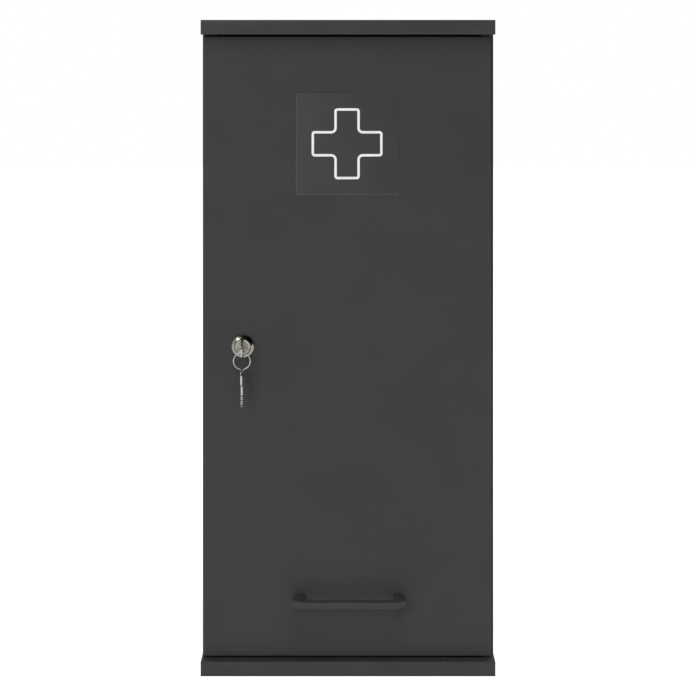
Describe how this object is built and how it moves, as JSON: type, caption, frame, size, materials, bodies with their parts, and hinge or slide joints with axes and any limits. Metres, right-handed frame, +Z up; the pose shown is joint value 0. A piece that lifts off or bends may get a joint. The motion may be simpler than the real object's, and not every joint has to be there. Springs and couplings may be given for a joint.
{
  "type": "lockable medicine cabinet",
  "caption": "Tall narrow board cabinet with one overlay door on pivot hinges, a keyed rim lock, a bow handle, adjustable shelves and a wall rail.",
  "frame": {"origin": "centre of the bottom board's underside, which stands on the floor or on a bracket", "axes": "+Z up, the door faces -Y, +X to the right as seen from the front (the hinge side)"},
  "size_m": [0.38, 0.3571, 0.846],
  "materials": {
    "melamine_board": "anthracite melamine facing on particleboard, fine texture",
    "abs_edging": "anthracite ABS edging, satin",
    "beech": "plain beech, unfinished",
    "zinc_plated_steel": "bright zinc plate",
    "zinc_casting": "raw zinc die casting, dull",
    "bright_nickel": "polished bright nickel",
    "nickel_plated_steel": "nickel plate, slightly worn",
    "nickel_plated_brass": "nickel-plated brass",
    "black_nylon": "black nylon",
    "buffer_rubber": "black rubber",
    "handle_coating": "anthracite powder coat, satin",
    "label_film": "anthracite sign plate, matt",
    "label_white": "white cut film",
    "cap_plastic": "anthracite moulded plastic"
  },
  "bodies": {
    "carcass": {"top_board": "melamine_board", "top_board_edging": "abs_edging", "bottom_board": "melamine_board", "bottom_board_edging": "abs_edging", "left_side_panel": "melamine_board", "right_side_panel": "melamine_board", "side_edgings": "abs_edging", "back_panel": "melamine_board", "hanging_rail": "beech", "rail_screws": "zinc_plated_steel", "wall_washers": "zinc_plated_steel", "lower_shelf": "melamine_board", "middle_shelf": "melamine_board", "upper_shelf": "melamine_board", "shelf_edgings": "abs_edging", "shelf_pins": "zinc_plated_steel", "cam_housings": "zinc_casting", "cam_bolts": "zinc_casting", "cam_caps": "cap_plastic", "wood_dowels": "beech", "hinge_frame_plates": "zinc_plated_steel", "hinge_frame_screws": "zinc_plated_steel", "hinge_pins": "zinc_plated_steel", "hinge_washers": "black_nylon", "strike_plate": "zinc_plated_steel", "strike_screws": "zinc_plated_steel"},
    "door": {"door_panel": "melamine_board", "door_edging": "abs_edging", "hinge_door_plates": "zinc_plated_steel", "hinge_door_screws": "zinc_plated_steel", "door_buffers": "buffer_rubber", "handle": "handle_coating", "handle_screws": "zinc_plated_steel", "label_plate": "label_film", "label_cross": "label_white", "lock_case": "zinc_plated_steel", "lock_cover": "zinc_plated_steel", "lock_screws": "zinc_plated_steel", "lock_rosette": "bright_nickel", "lock_barrel": "bright_nickel", "bolt_spring": "zinc_plated_steel"},
    "plug": {"lock_plug": "nickel_plated_brass", "lock_wafers": "nickel_plated_brass", "lock_cam": "zinc_casting", "cam_screw": "zinc_plated_steel"},
    "bolt": {"lock_bolt": "zinc_casting"},
    "key": {"lock_key": "nickel_plated_steel"},
    "ring": {"key_ring": "nickel_plated_steel"},
    "spare": {"spare_key": "nickel_plated_steel"}
  },
  "joints": [
    {"name": "door_swing", "type": "hinge", "parent": "carcass", "child": "door", "pos_m": [0.1794, -0.146, 0.0215], "axis": [0, 0, 1], "range_deg": [0, 180]},
    {"name": "key_turn", "type": "hinge", "parent": "door", "child": "plug", "pos_m": [-0.1362, -0.1573, 0.423], "axis": [0, -1, 0], "range_deg": [0, 90]},
    {"name": "bolt_throw", "type": "slide", "parent": "door", "child": "bolt", "axis": [-1, 0, 0], "range_m": [0, 0.01]},
    {"name": "key_withdraw", "type": "slide", "parent": "plug", "child": "key", "axis": [0, -1, 0], "range_m": [0, 0.03]},
    {"name": "ring_swing", "type": "hinge", "parent": "key", "child": "ring", "pos_m": [-0.1362, -0.1766, 0.41905], "axis": [-1, 0, 0], "range_deg": [-6, 80]},
    {"name": "spare_key_swing", "type": "hinge", "parent": "ring", "child": "spare", "pos_m": [-0.1362, -0.1766, 0.39755], "axis": [-1, 0, 0], "range_deg": [-6, 60]}
  ],
  "couplings": [
    {"joint": "bolt_throw", "follows": "key_turn", "m_per_rad": 0.0063661}
  ]
}
